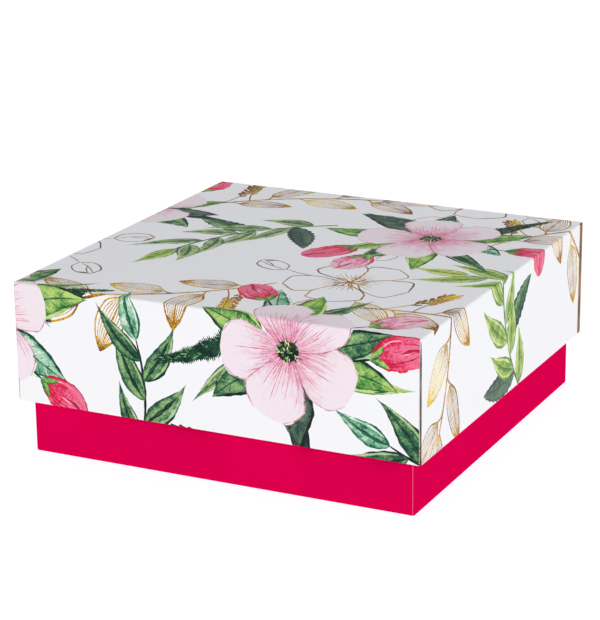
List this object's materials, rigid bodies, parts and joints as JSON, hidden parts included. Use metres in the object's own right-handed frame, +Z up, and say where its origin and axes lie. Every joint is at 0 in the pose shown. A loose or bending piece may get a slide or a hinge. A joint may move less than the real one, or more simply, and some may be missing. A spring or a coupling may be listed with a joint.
{
  "type": "flower box",
  "caption": "Square rigid gift box for flowers: a shallow paper-covered tray with a deeper-overhanging printed lid that lifts straight off.",
  "frame": {"origin": "centre of the underside of the closed box", "axes": "+Z up, the way the lid lifts off; +X to the right with the front facing -Y"},
  "size_m": [0.2, 0.2, 0.082],
  "materials": {
    "printed_paper": "satin",
    "crimson_paper": "matte",
    "white_paper": "matte",
    "greyboard": "matte",
    "kraft_tape": "matte"
  },
  "bodies": {
    "base": {"base_panel_board": "greyboard", "base_front_board": "greyboard", "base_back_board": "greyboard", "base_left_board": "greyboard", "base_right_board": "greyboard", "base_stay_front_left": "kraft_tape", "base_stay_front_right": "kraft_tape", "base_stay_back_left": "kraft_tape", "base_stay_back_right": "kraft_tape", "base_wrap": "crimson_paper", "base_liner": "white_paper"},
    "lid": {"lid_panel_board": "greyboard", "lid_front_board": "greyboard", "lid_back_board": "greyboard", "lid_left_board": "greyboard", "lid_right_board": "greyboard", "lid_stay_front_left": "kraft_tape", "lid_stay_front_right": "kraft_tape", "lid_stay_back_left": "kraft_tape", "lid_stay_back_right": "kraft_tape", "lid_wrap": "printed_paper", "lid_liner": "white_paper"}
  },
  "joints": [
    {"name": "lid_lift", "type": "slide", "parent": "base", "child": "lid", "axis": [0, 0, 1], "range_m": [0, 0.09]}
  ]
}
